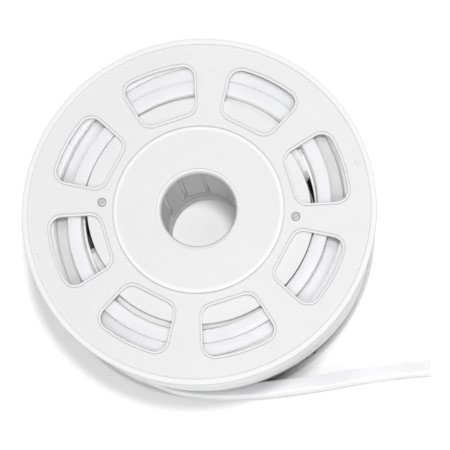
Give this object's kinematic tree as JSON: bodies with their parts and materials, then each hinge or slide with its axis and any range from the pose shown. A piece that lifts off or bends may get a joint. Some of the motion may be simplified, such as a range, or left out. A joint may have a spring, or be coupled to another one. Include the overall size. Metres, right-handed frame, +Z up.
{
  "type": "led neon flex",
  "caption": "White LED neon flex wound on edge on a flat plastic reel with windowed flanges and an open bore, its free end run out beside the reel",
  "frame": {"origin": "on the reel's axis, at the level of the surface that the reel lies on", "axes": "+Z is up along the reel's axis; +X is the side that the free end of the flex runs out to; +Y is away from that free end"},
  "size_m": [0.2392, 0.21, 0.067],
  "materials": {
    "reel_plastic": "satin moulded polystyrene",
    "flex_jacket": "milky silicone, matt",
    "screw_steel": "zinc-plated"
  },
  "bodies": {
    "root": {"top_flange": "reel_plastic", "bottom_flange": "reel_plastic", "drum": "reel_plastic", "top_screw_1": "screw_steel", "top_screw_2": "screw_steel", "bottom_screw_1": "screw_steel", "bottom_screw_2": "screw_steel", "neon_flex_winding": "flex_jacket", "neon_flex_tail": "flex_jacket"}
  },
  "joints": []
}
